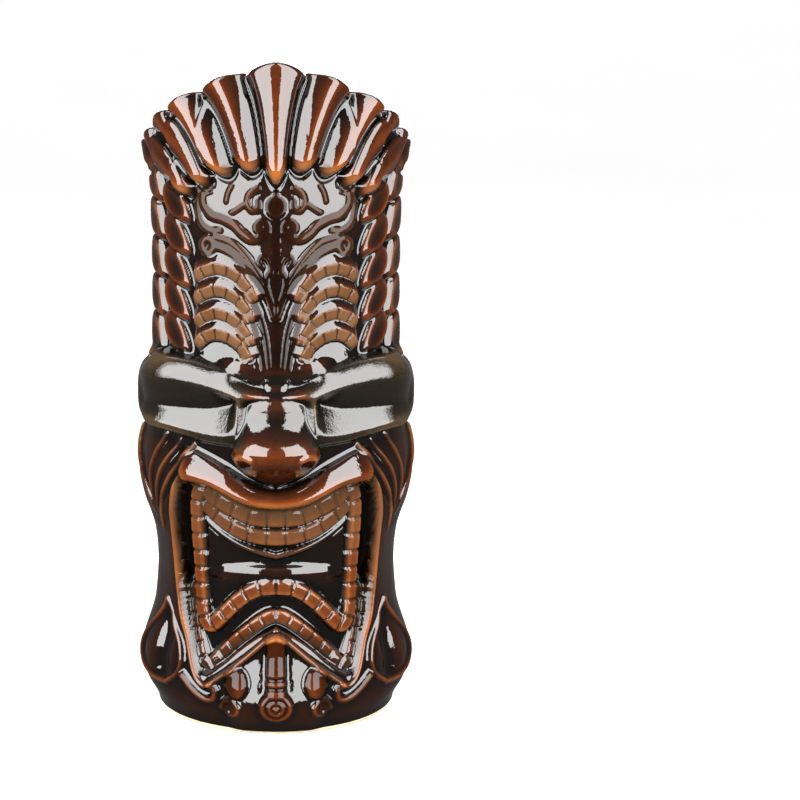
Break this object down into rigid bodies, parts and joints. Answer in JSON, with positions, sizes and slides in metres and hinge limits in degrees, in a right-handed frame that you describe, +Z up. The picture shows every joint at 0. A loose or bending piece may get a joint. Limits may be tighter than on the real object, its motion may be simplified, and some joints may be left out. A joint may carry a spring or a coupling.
{
  "type": "tiki mug",
  "caption": "Tall glazed ceramic tiki mug carved as a grinning face, with a crest of feathers round its open rim and a flat foot to stand on.",
  "frame": {"origin": "centre of the foot, on the plane that the mug stands on", "axes": "+Z up, from the foot to the tip of the crest; the face looks along -Y and +X is on the viewer's right"},
  "size_m": [0.0858, 0.0884, 0.2006],
  "materials": {
    "clay": "bare fired clay, matte cream",
    "outer_glaze": "glossy translucent brown, amber on the edges and near black in the carving",
    "liner_glaze": "glossy dark brown"
  },
  "bodies": {
    "root": {"clay_body": "clay", "outer_glaze": "outer_glaze", "liner_glaze": "liner_glaze"}
  },
  "joints": []
}
